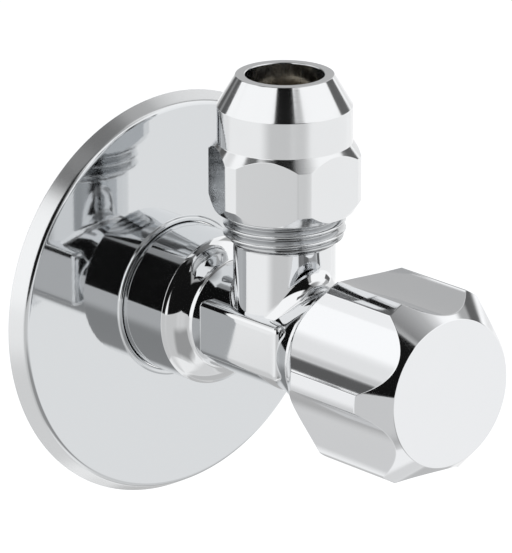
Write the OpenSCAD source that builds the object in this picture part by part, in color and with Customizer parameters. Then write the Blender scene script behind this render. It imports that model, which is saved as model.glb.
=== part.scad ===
// Angle stop valve: wall inlet, compression outlet pointing up, knob on the wall axis.
// The origin lies on the inlet axis in the wall plane; +Y runs into the wall, +Z is up.
// Every piece on the inlet axis is turned about it and placed by its distance from the wall.

/* [Inlet] */
// Outside diameter of the inlet pipe thread
inlet_thread_d = 20.955; // [18:0.005:22]
// Length of the inlet pipe thread
inlet_thread_l = 11.5; // [8:0.5:20]
// Bore of the inlet nipple
inlet_bore_d = 13; // [10:0.5:14.5]
// Width of the groove that holds the inlet seal ring
seal_groove_w = 2; // [1.2:0.1:3]
// Depth of the groove that holds the inlet seal ring
seal_groove_depth = 1.15; // [0.8:0.05:1.6]
// How far the smooth sleeve reaches behind the wall plane
sleeve_back = 3.5; // [2:0.5:8]
// Diameter of the smooth sleeve that the rosette slides on
sleeve_d = 21; // [20.8:0.1:24]
// Distance from the wall plane to the front edge of the sleeve
sleeve_front = 11; // [10:0.25:12]
// Bevel on the front edge of the sleeve
sleeve_bevel = 0.25; // [0.1:0.05:0.5]

/* [Rosette] */
// Diameter of the rosette's back rim
rosette_d = 57.4; // [44:0.5:70]
// How far the rosette's skirt flares out from its flat face to its back rim
rosette_flare = 1.3; // [0.8:0.1:3]
// Depth of the rosette from its back rim to its flat face
rosette_depth = 2.5; // [2:0.1:6]
// Sheet thickness of the rosette
rosette_sheet = 0.7; // [0.5:0.1:1]
// Height of the rolled bead round the rosette's hole
bead_h = 0.35; // [0.2:0.05:0.6]
// Width of the rolled bead round the rosette's hole
bead_w = 0.6; // [0.5:0.05:1]

/* [Body] */
// Diameter of the barrel between the shoulder and the socket
barrel_d = 14.7; // [14.2:0.1:16]
// Diameter of the shoulder's front ring
shoulder_d = 16.3; // [16.2:0.1:18]
// Length of the shoulder in front of the sleeve
shoulder_l = 1.8; // [1:0.1:2.4]
// Length of the hollow fillet between the shoulder and the barrel
shoulder_fillet = 0.8; // [0.4:0.1:1]
// Diameter of the socket that the headwork screws into
socket_d = 17.6; // [17.2:0.1:17.8]
// Distance from the wall plane to the front end of the socket
socket_front = 38.5; // [37:0.25:40]
// Length of the straight part of the socket
socket_l = 1.5; // [1:0.25:3]
// Length of the flare between the barrel and the socket
flare_l = 5; // [3:0.5:6]
// Diameter of the chamber that the plug moves in
chamber_d = 11.4; // [11.2:0.1:12]

/* [Bare boss on the side of the body] */
// Distance from the body axis to the flat of the boss
boss_reach = 8.1; // [7.9:0.1:9]
// Length of the boss along the body
boss_l = 15.2; // [8:0.2:15.6]
// Height of the boss
boss_h = 7.8; // [4:0.2:9]
// Height of the boss's middle above the body axis
boss_rise = 0.3; // [-1:0.1:1]
// Corner radius of the boss
boss_corner = 0.9; // [0.4:0.1:1.6]
// Radius of the eased edges round the boss's face
boss_ease = 0.5; // [0.2:0.1:0.9]

/* [Outlet] */
// Distance from the wall plane to the outlet axis
outlet_out = 24.3; // [24:0.1:25]
// Diameter of the outlet neck
neck_d = 13.9; // [13:0.1:14.4]
// Radius of the hollow blend between neck and barrel on the knob side
blend_front = 1.5; // [1:0.1:3.4]
// Radius of the hollow blend between neck and barrel on the wall side
blend_back = 0.8; // [0.4:0.1:1]
// Height of the lower end of the outlet thread above the inlet axis
thread_bottom = 13.4; // [11.6:0.2:14]
// Height of the top of the outlet thread above the inlet axis
thread_top = 26.5; // [25:0.25:28]
// Outside diameter of the outlet pipe thread
outlet_thread_d = 16.66; // [16:0.02:17]
// Bore of the tube socket
tube_bore_d = 10.2; // [8.2:0.1:10.4]
// Depth of the tube socket below the top of the thread
tube_socket_l = 12.5; // [8:0.5:13]
// Bore of the port between the chamber and the tube socket
port_d = 8; // [6:0.25:8]

/* [Compression nut] */
// Width across the flats of the nut
nut_af = 19; // [18.4:0.1:21]
// Diameter over the turned corners of the nut
nut_turned_d = 20.9; // [20.4:0.1:23]
// Height of the nut's lower face above the inlet axis
nut_bottom = 18; // [16:0.25:19]
// Height of the hexagon
nut_hex_h = 9.4; // [8.4:0.2:10.2]
// Diameter of the round part above the hexagon
nut_round_d = 18.4; // [18:0.1:19]
// Height of the round part above the hexagon
nut_round_h = 5; // [3:0.25:7]
// Height of the cone at the top of the nut
nut_cone_h = 4.3; // [3:0.1:5]
// Outside diameter of the nut's top ring
nut_top_d = 13.3; // [12.6:0.1:15]
// Bore through the nut's top ring
nut_bore_d = 10.7; // [10.5:0.1:11.2]
// Turn of the nut about its axis
nut_turn = 4; // [0:1:59]

/* [Handle] */
// Diameter over the six lands of the handle
handle_d = 27.3; // [26:0.1:32]
// Distance from the handle's axis to the floor of each flute
flute_floor = 10.75; // [10.6:0.05:11.4]
// Width of each land between two flutes
land_w = 2.5; // [1.5:0.1:4]
// Distance from the bonnet's nose to the handle's front face
handle_reach = 10.4; // [10:0.1:13]
// Length of the handle
handle_l = 21.1; // [20.4:0.1:21.4]
// Length of the lands along the handle
land_l = 12.6; // [8:0.2:13]
// Diameter of the handle's flat front face
handle_face_d = 20.3; // [14:0.1:21]
// Length of the steep cone that leads up to the front face
face_edge_l = 0.9; // [0.4:0.1:1]
// Outside diameter of the handle's back rim
handle_rim_d = 20.6; // [20.2:0.1:21]
// Diameter of the hollow inside the handle
handle_bore_d = 18.5; // [18.4:0.1:18.8]
// Turn of the handle about its axis
handle_turn = -2.5; // [-30:0.5:30]

/* [Headwork] */
// Width across the flats of the bonnet
bonnet_af = 15; // [14:0.1:15.6]
// Length of the bonnet's hexagon
bonnet_hex_l = 4.2; // [3:0.2:5]
// Diameter of the bonnet's nose
nose_d = 10.4; // [9.6:0.1:11]
// Length of the bonnet's nose
nose_l = 3.8; // [3.6:0.1:4]
// Thread diameter of the bonnet
bonnet_thread_d = 13.8; // [13.2:0.1:14]
// Diameter of the spindle in its bearing
spindle_d = 6; // [5.6:0.1:6.4]
// Diameter of the spindle's drive thread
drive_thread_d = 5.2; // [4.6:0.1:5.6]
// Diameter of the spindle's thrust collar
collar_d = 8.8; // [8:0.1:9]
// Width across the flats of the plug's hexagon
plug_af = 8; // [7.6:0.1:8.2]
// Travel of the plug from closed to open
plug_travel = 4.5; // [3:0.25:5]
// Number of splines on the spindle's end
spline_count = 18; // [12:1:30]
// Thickness of the rubber seat washer
washer_t = 2; // [1.6:0.1:2.2]

/* [Clearances] */
// Radial gap between parts that turn or slide in each other
running_gap = 0.05; // [0.03:0.01:0.08]
// Gap between parts of different bodies that must not touch
free_gap = 0.3; // [0.2:0.05:0.35]
// Gap between parts that lie loosely against each other
lie_gap = 0.05; // [0.02:0.01:0.08]

/* [Hidden] */
$fn = 96;
cut = 0.1;                                        // overshoot of every cutting tool

// Inlet
thread_chamfer = 1.2;
groove_front = -sleeve_back;
groove_back = groove_front - seal_groove_w;
inlet_back = groove_back - inlet_thread_l;
groove_r = inlet_thread_d / 2 - seal_groove_depth;
seal_ring_sink = 0.3;                             // how far the seal ring stays below the thread's crests

// Body, by distance from the wall plane
barrel_r = barrel_d / 2;
shoulder_front = sleeve_front + shoulder_l;
barrel_back = shoulder_front + shoulder_fillet;
flare_front = socket_front - socket_l;
flare_back = flare_front - flare_l;
seat_margin = 0.8;                                // from the port's edge to the seat
seat = outlet_out - port_d / 2 - seat_margin;
seat_r = 4;
seat_rim_w = 0.8;
seat_rim_h = 0.6;
seat_wall = 1.9;
throat_r = 4.9;
throat_back = sleeve_front - 2;
socket_l_inside = 4;
socket_floor = socket_front - socket_l_inside;
elbow_r = min(neck_d, barrel_d) / 2 - 0.1;        // pipe radius of the blends at the neck's foot
blend_sink = 0.04;                                // how deep the blends start inside neck and barrel
boss_front = flare_back - 0.6;
boss_mid = boss_front - boss_l / 2;

// Outlet
thread_run_in = 0.7;
seat_cone_h = 2;
seat_cone_r = tube_bore_d / 2 + 1.3;
port_step = thread_top - tube_socket_l;

// Nut and compression ring
nut_thread_r = outlet_thread_d / 2 + 2 * running_gap;
nut_thread_top = thread_top + 0.3;
nut_hex_top = nut_bottom + nut_hex_h;
nut_round_top = nut_hex_top + nut_round_h;
nut_top = nut_round_top + nut_cone_h;
nut_chamfer = 1.5;
nut_chamfer_slope = 0.62;                         // radial step of the lower bevel per height
nut_neck_fillet = 0.3;
ring_l = 5.7;
ring_r = tube_bore_d / 2 + 1.25;
ring_bore_r = tube_bore_d / 2;
ring_bottom = thread_top - 1;
ring_top = ring_bottom + ring_l;
ring_end_t = 0.5;
nut_cone_gap = 3 * lie_gap;

// Headwork, by distance from the wall plane
gasket_t = 0.5;
gasket_r = socket_d / 2 - 0.2;
hex_back = socket_front + gasket_t;
hex_front = hex_back + bonnet_hex_l;
nose_front = hex_front + nose_l;
bonnet_thread_r = bonnet_thread_d / 2;
guide_r = chamber_d / 2 - 4 * running_gap;
guide_af = plug_af + 4 * running_gap;
collar_t = 1.2;
collar_back = hex_back - 0.7;
friction_t = 0.4;
collar_bed = collar_back + collar_t + friction_t + 2 * lie_gap;
spindle_r = spindle_d / 2;
spindle_bore_r = spindle_r + running_gap;
collar_bore_r = collar_d / 2 + 0.3;
o_ring_w = 1.6;
o_ring_groove_w = o_ring_w + 2 * lie_gap;
o_ring_inner_s = collar_bed + 0.7;
o_ring_outer_s = nose_front - 0.7 - o_ring_groove_w;
o_ring_groove_r = spindle_bore_r - o_ring_w + 0.45;
circlip_washer_t = 0.4;
circlip_t = 0.5;
circlip_s = nose_front + circlip_washer_t + 2 * lie_gap;
circlip_groove_r = spindle_r - 0.5;
circlip_r = spindle_r + 1.4;
circlip_gap_w = 2.4;

// Plug, closed
plug_back = seat + free_gap + washer_t;
washer_grip = 0.5;
plug_head_t = 1.5;
plug_head_r = chamber_d / 2 - free_gap;
plug_wall = 0.4;
plug_hex_back = plug_back + plug_head_t + 1.5;
plug_hex_front = collar_back - free_gap - plug_travel;
guide_back = plug_hex_back + plug_travel + free_gap;
drive_floor = plug_back + 2.4;
spindle_back = drive_floor + plug_travel + free_gap;
drive_bore_r = drive_thread_d / 2 + running_gap;
washer_r = plug_head_r - plug_wall - lie_gap;
screw_r = 1.5;
screw_head_r = 2.6;
screw_head_t = 1.5;
retaining_t = 0.4;
retaining_r = 2.9;
screw_tip = plug_back + 1.7;

// Handle
handle_r = handle_d / 2;
handle_front = nose_front + handle_reach;
handle_back = handle_front - handle_l;
face_r = handle_face_d / 2;
rim_r = handle_rim_d / 2;
cone_r = max(flute_floor, face_r + face_edge_l * 0.72);  // where the two front cones meet
land_front = handle_front - 3.9;
land_back = land_front - land_l;
land_half = asin(land_w / 2 / handle_r);
land_edge_n = handle_r * cos(30 - land_half);     // land edge, along the flute's normal
land_edge_t = handle_r * sin(30 - land_half);     // land edge, across the flute
flute_sag = land_edge_n - flute_floor;
flute_r = (pow(land_edge_t, 2) + pow(flute_sag, 2)) / (2 * flute_sag);
handle_bore_r = handle_bore_d / 2;
front_wall = 2.1;
hub_floor = handle_front - front_wall;
hub_r = 7;
hub_back = circlip_s + circlip_t + 0.9;
pocket_front = hub_floor - 0.5;
insert_r = 5;
insert_back = hub_back;
spline_r = 2.9;
spline_depth = 0.4;
spline_back = insert_back - 0.1;
spindle_front = hub_floor - 1.3;
clip_t = 0.5;
clip_s = spindle_front - 1.7;
clip_groove_r = spline_r - 0.7;
clip_r = spline_r + 0.6;

// Points of an arc about (x, y), from angle a to angle b
function arc(x, y, r, a, b, n = 8) =
    [for (i = [0:n]) [x + r * cos(a + (b - a) * i / n), y + r * sin(a + (b - a) * i / n)]];

// Outline of a splined bore or shaft
function spline_points(r, depth) =
    [for (i = [0:2 * spline_count - 1])
        (r - (i % 2) * depth) * [cos(i * 180 / spline_count), sin(i * 180 / spline_count)]];

// Turns a piece about the inlet axis: heights become distances from the wall
module on_inlet() rotate([90, 0, 0]) children();

// Moves a piece to the outlet axis
module on_outlet() translate([0, -outlet_out, 0]) children();

// Flat ring between two radii
module ring(outer, inner, base, height) {
    translate([0, 0, base]) difference() {
        cylinder(r = outer, h = height);
        translate([0, 0, -cut]) cylinder(r = inner, h = height + 2 * cut);
    }
}

module bore(r, from, to) translate([0, 0, from]) cylinder(r = r, h = to - from);

module hexagon(af, h) cylinder(r = af / 2 / cos(30), h = h, $fn = 6);

// Turned outside of the body from the inlet thread to the headwork socket
module body_turning() {
    thread_r = inlet_thread_d / 2;
    sleeve_r = sleeve_d / 2;
    shoulder_r = shoulder_d / 2;
    socket_r = socket_d / 2;
    flare_step = socket_r - barrel_r;
    rotate_extrude() polygon(concat(
        [[0, inlet_back],
         [thread_r - thread_chamfer, inlet_back],
         [thread_r, inlet_back + thread_chamfer],
         [thread_r, groove_back],
         [groove_r, groove_back],
         [groove_r, groove_front],
         [sleeve_r, groove_front],
         [sleeve_r, sleeve_front - sleeve_bevel],
         [sleeve_r - sleeve_bevel, sleeve_front]],
        // convex shoulder, a quarter ellipse that stops short of flat
        [for (a = [10:10:80])
            [shoulder_r + (sleeve_r - sleeve_bevel - shoulder_r) * cos(a),
             sleeve_front + shoulder_l * sin(a)]],
        [[shoulder_r, shoulder_front]],
        // hollow fillet down to the barrel
        [for (a = [10:10:80])
            [shoulder_r - (shoulder_r - barrel_r) * sin(a),
             barrel_back - shoulder_fillet * cos(a)]],
        [[barrel_r, barrel_back], [barrel_r, flare_back]],
        // flare up to the socket, a soft S
        [for (t = [0.1:0.1:0.9])
            [barrel_r + flare_step * (1 - cos(180 * t)) / 2, flare_back + flare_l * t]],
        [[socket_r, flare_front], [socket_r, socket_front], [0, socket_front]]));
}

// Neck with the outlet thread's blank above it
module body_neck() {
    thread_r = outlet_thread_d / 2;
    rotate_extrude() polygon([
        [0, 0], [neck_d / 2, 0], [neck_d / 2, thread_bottom],
        [thread_r, thread_bottom + thread_run_in],
        [thread_r, thread_top - thread_run_in],
        [thread_r - thread_run_in, thread_top], [0, thread_top]]);
}

// Hollow blend of the neck's foot into the barrel: an elbow that leaves both nearly tangent
module body_elbow(blend) {
    sweep_r = blend + blend_sink + elbow_r;
    translate([0, -neck_d / 2 - blend, barrel_r + blend]) rotate([0, 90, 0])
        rotate_extrude(angle = 90) translate([sweep_r, 0]) circle(r = elbow_r);
}

// Rectangle with rounded corners, about the origin
module rounded_rectangle(width, height, corner) {
    square([width, height - 2 * corner], center = true);
    square([width - 2 * corner, height], center = true);
    for (x = [-1, 1], y = [-1, 1])
        translate([x * (width / 2 - corner), y * (height / 2 - corner)]) circle(r = corner, $fn = 32);
}

// Flat bare boss on the -X side: its outline, and its face's edges eased both ways
module body_boss() {
    depth = boss_reach - barrel_r + 2;
    translate([-boss_reach, -boss_mid, boss_rise]) intersection() {
        rotate([0, 90, 0]) linear_extrude(depth) rounded_rectangle(boss_h, boss_l, boss_corner);
        translate([depth, 0, 0]) rotate([90, 0, 0]) linear_extrude(boss_l, center = true)
            rounded_rectangle(2 * depth, boss_h, boss_ease);
        translate([depth, 0, 0]) linear_extrude(boss_h, center = true)
            rounded_rectangle(2 * depth, boss_l, boss_ease);
    }
}

// Bores on the inlet axis: nipple, throat, seat, chamber and socket
module body_bores() {
    chamber_floor = seat - seat_rim_h;
    bore(inlet_bore_d / 2, inlet_back - cut, throat_back);
    bore(throat_r, throat_back - cut, seat - seat_wall);
    bore(seat_r, seat - seat_wall - cut, seat + cut);
    difference() {
        bore(chamber_d / 2, chamber_floor, socket_floor + cut);
        bore(seat_r + seat_rim_w, chamber_floor - cut, seat);
    }
    bore(bonnet_thread_r + running_gap, socket_floor, socket_front + cut);
}

module valve_body() {
    color("silver") difference() {
        union() {
            on_inlet() body_turning();
            on_outlet() body_neck();
            on_outlet() {
                body_elbow(blend_front);
                mirror([0, 1, 0]) body_elbow(blend_back);
            }
            body_boss();
        }
        on_inlet() body_bores();
        on_outlet() {
            bore(port_d / 2, 0, port_step + cut);
            bore(tube_bore_d / 2, port_step, thread_top + cut);
            translate([0, 0, thread_top - seat_cone_h])
                cylinder(r1 = tube_bore_d / 2, r2 = seat_cone_r, h = seat_cone_h);
            bore(seat_cone_r, thread_top - lie_gap, thread_top + cut);
        }
    }
}

// Sealing ring that lies in the groove ahead of the inlet thread
module inlet_seal_ring() {
    color("whitesmoke") on_inlet()
        ring(inlet_thread_d / 2 - seal_ring_sink, groove_r, groove_back + lie_gap,
             seal_groove_w - 2 * lie_gap);
}

// Pressed sheet rosette: flared skirt, flat face, rolled bead and a short guide collar
module rosette() {
    hole_r = sleeve_d / 2 + 2 * running_gap;
    rim = rosette_d / 2;
    face = rim - rosette_flare;
    collar_out = hole_r + bead_w;
    corner = rosette_depth - 0.6;
    color("silver") on_inlet() rotate_extrude($fn = 144) polygon(concat(
        [[rim - rosette_sheet, 0], [rim, 0],
         [rim - rosette_flare * 0.45, corner - 0.7],
         [rim - rosette_flare * 0.62, corner],
         [rim - rosette_flare * 0.8, rosette_depth - 0.15],
         [face, rosette_depth],
         [collar_out, rosette_depth]],
        arc(hole_r + bead_w / 2, rosette_depth, bead_w / 2, 0, 90, 4),
        [[hole_r + bead_w / 2, rosette_depth + bead_h]],
        [[hole_r, rosette_depth + bead_h * 0.6],
         [hole_r, 0.6],
         [collar_out, 0.6],
         [collar_out, rosette_depth - rosette_sheet],
         [face - rosette_sheet / 2, rosette_depth - rosette_sheet]]));
}

module compression_nut() {
    turned = nut_turned_d / 2;
    round_r = nut_round_d / 2;
    low_r = turned - nut_chamfer * nut_chamfer_slope;
    top_land = nut_hex_top - (turned - round_r) * 1.3;
    cone_floor = nut_thread_top + 1.2;
    color("silver") on_outlet() difference() {
        union() {
            intersection() {
                translate([0, 0, nut_bottom]) rotate([0, 0, nut_turn]) hexagon(nut_af, nut_hex_h);
                rotate_extrude() polygon([
                    [0, nut_bottom], [low_r, nut_bottom], [turned, nut_bottom + nut_chamfer],
                    [turned, top_land], [round_r, nut_hex_top], [0, nut_hex_top]]);
            }
            rotate_extrude() polygon([
                [0, nut_hex_top - 1], [round_r, nut_hex_top - 1], [round_r, nut_round_top],
                [nut_top_d / 2, nut_top], [0, nut_top]]);
        }
        bore(nut_thread_r, nut_bottom - cut, nut_thread_top);
        // inner cone that squeezes the compression ring on to the tube
        rotate_extrude() polygon([
            [0, nut_thread_top - cut], [nut_thread_r, nut_thread_top - cut],
            [nut_thread_r, nut_thread_top], [ring_r + nut_cone_gap, cone_floor],
            [ring_r + nut_cone_gap, ring_top - 1.5],
            [nut_bore_d / 2, ring_top + 0.6], [0, ring_top + 0.6]]);
        bore(nut_bore_d / 2, ring_top, nut_top + cut);
    }
}

// Brass ring, bevelled at both ends, that grips the tube
module compression_ring() {
    color("goldenrod") on_outlet() rotate_extrude() polygon([
        [ring_bore_r, ring_bottom], [ring_bore_r + ring_end_t, ring_bottom],
        [ring_r, ring_bottom + 1.9], [ring_r, ring_top - 1.7],
        [ring_bore_r + ring_end_t, ring_top], [ring_bore_r, ring_top]]);
}

module headwork_bonnet() {
    color("goldenrod") on_inlet() difference() {
        union() {
            bore(guide_r, guide_back, socket_floor + cut + lie_gap);
            bore(bonnet_thread_r, socket_floor + lie_gap, hex_back + cut);
            translate([0, 0, hex_back]) intersection() {
                hexagon(bonnet_af, bonnet_hex_l);
                cylinder(r = bonnet_af / 2 / cos(30) - 0.35, h = bonnet_hex_l);
            }
            bore(nose_d / 2, hex_front - cut, nose_front);
        }
        translate([0, 0, guide_back - cut]) hexagon(guide_af, collar_back - guide_back + 2 * cut);
        bore(collar_bore_r, collar_back - lie_gap, collar_bed);
        bore(spindle_bore_r, collar_bed - cut, nose_front + cut);
    }
}

// Flat ring squeezed between the bonnet's hexagon and the socket
module bonnet_gasket() {
    color("firebrick") on_inlet()
        ring(gasket_r, bonnet_thread_r + lie_gap, socket_front, gasket_t);
}

// Non-rising spindle: drive thread, thrust collar, bearing with two ring grooves, splined end
module spindle() {
    color("goldenrod") on_inlet() difference() {
        union() {
            bore(drive_thread_d / 2, spindle_back, collar_back + cut);
            bore(collar_d / 2, collar_back, collar_back + collar_t);
            bore(spindle_r, collar_back + collar_t - cut, spline_back);
            translate([0, 0, spline_back - cut])
                linear_extrude(spindle_front - spline_back + cut)
                    polygon(spline_points(spline_r, spline_depth));
        }
        for (s = [o_ring_inner_s, o_ring_outer_s])
            ring(spindle_r + cut, o_ring_groove_r, s, o_ring_groove_w);
        ring(spindle_r + cut, circlip_groove_r, circlip_s, circlip_t + lie_gap);
        ring(spline_r + cut, clip_groove_r, clip_s, clip_t + lie_gap);
    }
}

// Round-section ring in one of the spindle's grooves
module spindle_o_ring(s) {
    mid_r = (spindle_bore_r - running_gap / 2 + o_ring_groove_r) / 2;
    wire_r = (spindle_bore_r - running_gap / 2 - o_ring_groove_r) / 2;
    color("dimgray") on_inlet() translate([0, 0, s + o_ring_groove_w / 2])
        rotate_extrude($fn = 48) translate([mid_r, 0]) circle(r = wire_r, $fn = 24);
}

module spindle_o_ring_inner() spindle_o_ring(o_ring_inner_s);

module spindle_o_ring_outer() spindle_o_ring(o_ring_outer_s);

// Slip washer between the collar and the bonnet
module friction_washer() {
    color("whitesmoke") on_inlet()
        ring(collar_d / 2, spindle_bore_r + lie_gap, collar_bed - friction_t - lie_gap, friction_t);
}

module circlip_washer() {
    color("whitesmoke") on_inlet()
        ring(circlip_r + 0.4, spindle_bore_r + lie_gap, nose_front + lie_gap, circlip_washer_t);
}

// Open snap ring in a groove of the given radius
module snap_ring(outer, groove, s, t, gap) {
    color("lightsteelblue") on_inlet() difference() {
        ring(outer, groove + lie_gap / 2, s + lie_gap / 2, t);
        translate([0, -gap / 2, s - cut]) cube([outer + cut, gap, t + 3 * cut]);
    }
}

module spindle_circlip() snap_ring(circlip_r, circlip_groove_r, circlip_s, circlip_t, circlip_gap_w);

// Plug that the drive thread pulls along: head with a cup for the washer, hexagon guide
module valve_plug() {
    color("goldenrod") on_inlet() difference() {
        union() {
            bore(plug_head_r, plug_back - washer_grip, plug_back + plug_head_t);
            translate([0, 0, plug_back + plug_head_t - cut])
                cylinder(r1 = plug_head_r - 0.6, r2 = plug_af / 2,
                         h = plug_hex_back - plug_back - plug_head_t + 2 * cut);
            translate([0, 0, plug_hex_back]) hexagon(plug_af, plug_hex_front - plug_hex_back);
        }
        bore(washer_r + lie_gap, plug_back - washer_grip - cut, plug_back);
        bore(screw_r, plug_back - cut, screw_tip + lie_gap);
        bore(drive_bore_r, drive_floor, plug_hex_front + cut);
    }
}

module seat_washer() {
    color("dimgray") on_inlet() ring(washer_r, screw_r + lie_gap, plug_back - washer_t, washer_t);
}

module retaining_washer() {
    color("lightsteelblue") on_inlet()
        ring(retaining_r, screw_r + lie_gap, plug_back - washer_t - retaining_t, retaining_t);
}

// Cheese-head screw that holds the seat washer to the plug
module washer_screw() {
    under_head = plug_back - washer_t - retaining_t;
    slot_w = 0.8;
    slot_depth = 0.7;
    color("lightsteelblue") on_inlet() difference() {
        union() {
            bore(screw_head_r, under_head - screw_head_t, under_head);
            bore(screw_r, under_head - cut, screw_tip);
        }
        translate([-screw_head_r - cut, -slot_w / 2, under_head - screw_head_t - cut])
            cube([2 * (screw_head_r + cut), slot_w, slot_depth + cut]);
    }
}

// Turned outline of the handle before its flutes
module handle_turning() {
    rotate_extrude($fn = 144) polygon([
        [0, handle_back], [rim_r, handle_back], [handle_r, land_back], [handle_r, land_front],
        [cone_r, handle_front - face_edge_l], [face_r, handle_front], [0, handle_front]]);
}

// Six-sided knob with hollow flutes between narrow lands
module handle() {
    color("silver") on_inlet() difference() {
        handle_turning();
        for (i = [0:5]) rotate([0, 0, 30 + 60 * i + handle_turn])
            translate([flute_floor + flute_r, 0, handle_back - cut])
                cylinder(r = flute_r, h = handle_l + 2 * cut, $fn = 144);
        bore(handle_bore_r, handle_back - cut, hub_back);
        difference() {
            bore(handle_bore_r - 0.4, hub_back - cut, pocket_front);
            bore(hub_r, hub_back - 2 * cut, pocket_front + cut);
        }
        bore(insert_r, hub_back - cut, hub_floor);
    }
}

// Moulded bush that joins the spindle's splines to the handle's hub
module handle_insert() {
    color("whitesmoke") on_inlet() difference() {
        bore(insert_r, insert_back, hub_floor);
        translate([0, 0, insert_back - cut]) linear_extrude(hub_floor - insert_back + 2 * cut)
            polygon(spline_points(spline_r + running_gap, spline_depth));
        bore(clip_r + lie_gap, clip_s - lie_gap, clip_s + clip_t + 2 * lie_gap);
    }
}

module insert_clip() snap_ring(clip_r, clip_groove_r, clip_s, clip_t, clip_r);

valve_body();
inlet_seal_ring();
rosette();
compression_nut();
compression_ring();
headwork_bonnet();
bonnet_gasket();
spindle();
spindle_o_ring_inner();
spindle_o_ring_outer();
friction_washer();
circlip_washer();
spindle_circlip();
valve_plug();
seat_washer();
retaining_washer();
washer_screw();
handle();
handle_insert();
insert_clip();
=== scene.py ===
from math import radians
import bmesh
import bpy
import numpy as np
from mathutils import Matrix, Vector


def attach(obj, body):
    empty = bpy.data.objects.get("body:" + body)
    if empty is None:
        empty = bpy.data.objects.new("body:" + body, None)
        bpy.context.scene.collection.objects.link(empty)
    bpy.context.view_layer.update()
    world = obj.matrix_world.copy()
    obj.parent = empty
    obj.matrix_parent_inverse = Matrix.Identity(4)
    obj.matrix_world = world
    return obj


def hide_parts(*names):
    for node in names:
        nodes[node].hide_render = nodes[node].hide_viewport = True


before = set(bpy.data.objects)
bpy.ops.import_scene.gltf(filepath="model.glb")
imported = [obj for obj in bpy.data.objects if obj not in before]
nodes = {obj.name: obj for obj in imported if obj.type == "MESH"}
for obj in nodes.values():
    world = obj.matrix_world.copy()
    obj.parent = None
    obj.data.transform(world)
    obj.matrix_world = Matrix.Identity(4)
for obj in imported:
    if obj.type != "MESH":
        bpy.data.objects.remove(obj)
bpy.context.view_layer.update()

mm = 0.001


# camera: from the front left and a little above, with a long lens
cameraPlan = dict(turn=-41.2113, tilt=18.2686, aim=(-0.003952, -0.022958, 0.008616), distance=0.8114,
                  lens=390.8)

def addCamera(plan):
    # stands back from the aim point along its own view line
    turned = (Matrix.Rotation(radians(plan["turn"]), 4, "Z")
              @ Matrix.Rotation(radians(90 - plan["tilt"]), 4, "X"))
    camera = bpy.data.objects.new("camera", bpy.data.cameras.new("camera"))
    stand = Vector(plan["aim"]) + turned @ Vector((0, 0, plan["distance"]))
    camera.matrix_world = Matrix.Translation(stand) @ turned
    camera.data.lens = plan["lens"]
    camera.data.sensor_fit = "VERTICAL"
    camera.data.sensor_height = 36
    camera.data.clip_end = 30
    bpy.context.collection.objects.link(camera)
    bpy.context.scene.camera = camera

addCamera(cameraPlan)
bpy.context.scene.view_settings.view_transform = "Standard"
print("camera set")


# two frames are used for the turned pieces: about the inlet axis, and about the outlet axis
outletOut = 24.3  # wall plane to outlet axis

def aboutInlet(radius, angle, distance):
    # x = r cos a, y = minus the distance from the wall, z = r sin a
    x, y, z = np.broadcast_arrays(radius * np.cos(angle), -distance, radius * np.sin(angle))
    return np.stack([x, y, z], -1) * mm

def aboutOutlet(radius, angle, height):
    # x = r cos a, y = r sin a minus the outlet's distance from the wall, z = height
    x, y, z = np.broadcast_arrays(radius * np.cos(angle), radius * np.sin(angle) - outletOut, height)
    return np.stack([x, y, z], -1) * mm

def gridSurface(name, body, points, loop=True):
    # a rows x columns grid of points made into quads: the columns always close into rings,
    # and the rows close too when loop is set, which makes a hollow turned ring
    rows, cols = points.shape[:2]
    index = np.arange(rows * cols).reshape(rows, cols)
    right = np.roll(index, -1, axis=1)
    above, aboveRight = (np.roll(g, -1, axis=0) for g in (index, right))
    last = rows if loop else rows - 1
    quads = np.stack([index, right, aboveRight, above], -1)[:last].reshape(-1, 4)
    mesh = bpy.data.meshes.new(name)
    mesh.from_pydata(points.reshape(-1, 3), [], quads)
    tidy = bmesh.new()
    tidy.from_mesh(mesh)
    bmesh.ops.remove_doubles(tidy, verts=tidy.verts, dist=2e-7)
    bmesh.ops.dissolve_degenerate(tidy, edges=tidy.edges, dist=1e-7)
    bmesh.ops.recalc_face_normals(tidy, faces=tidy.faces)
    tidy.to_mesh(mesh)
    tidy.free()
    mesh.shade_smooth()
    piece = bpy.data.objects.new(name, mesh)
    bpy.context.collection.objects.link(piece)
    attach(piece, body)
    return piece

def roundedOutline(knots, steps=5, loop=True):
    # knots are (radius, height, corner radius), each a number or one value per column.
    # Every corner becomes a true arc: a rational curve from one tangent point to the other,
    # weighted with the sine of half the corner's angle, with a guard row on each straight
    r, h, corner = (np.stack(np.broadcast_arrays(*[np.atleast_1d(k[i]) for k in knots])).astype(float)
                    for i in range(3))
    place = np.stack([r, h], -1)
    rows = []
    for k in range(len(knots)):
        here = place[k]
        if not loop and k in (0, len(knots) - 1):
            rows.append(here[None])
            continue
        toBack, toFront = place[k - 1] - here, place[(k + 1) % len(knots)] - here
        backLength, frontLength = (np.linalg.norm(v, axis=-1, keepdims=True) for v in (toBack, toFront))
        toBack, toFront = toBack / np.maximum(backLength, 1e-9), toFront / np.maximum(frontLength, 1e-9)
        half = np.arccos(np.clip((toBack * toFront).sum(-1, keepdims=True), -1, 1)) / 2
        room = 0.4 * np.minimum(backLength, frontLength)
        tangent = np.minimum(corner[k][:, None] / np.maximum(np.tan(half), 1e-3), room)
        guard = np.minimum(0.6 * tangent, 0.15 * room)
        t = np.linspace(0, 1, steps + 1)[:, None, None]
        weight = np.sin(half)
        arc = (((1 - t) ** 2 * (here + toBack * tangent) + 2 * t * (1 - t) * weight * here
                + t ** 2 * (here + toFront * tangent))
               / ((1 - t) ** 2 + 2 * t * (1 - t) * weight + t ** 2))
        rows += [(here + toBack * (tangent + guard))[None], arc, (here + toFront * (tangent + guard))[None]]
    rows = np.concatenate(rows)
    return rows[..., 0], rows[..., 1]

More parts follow.
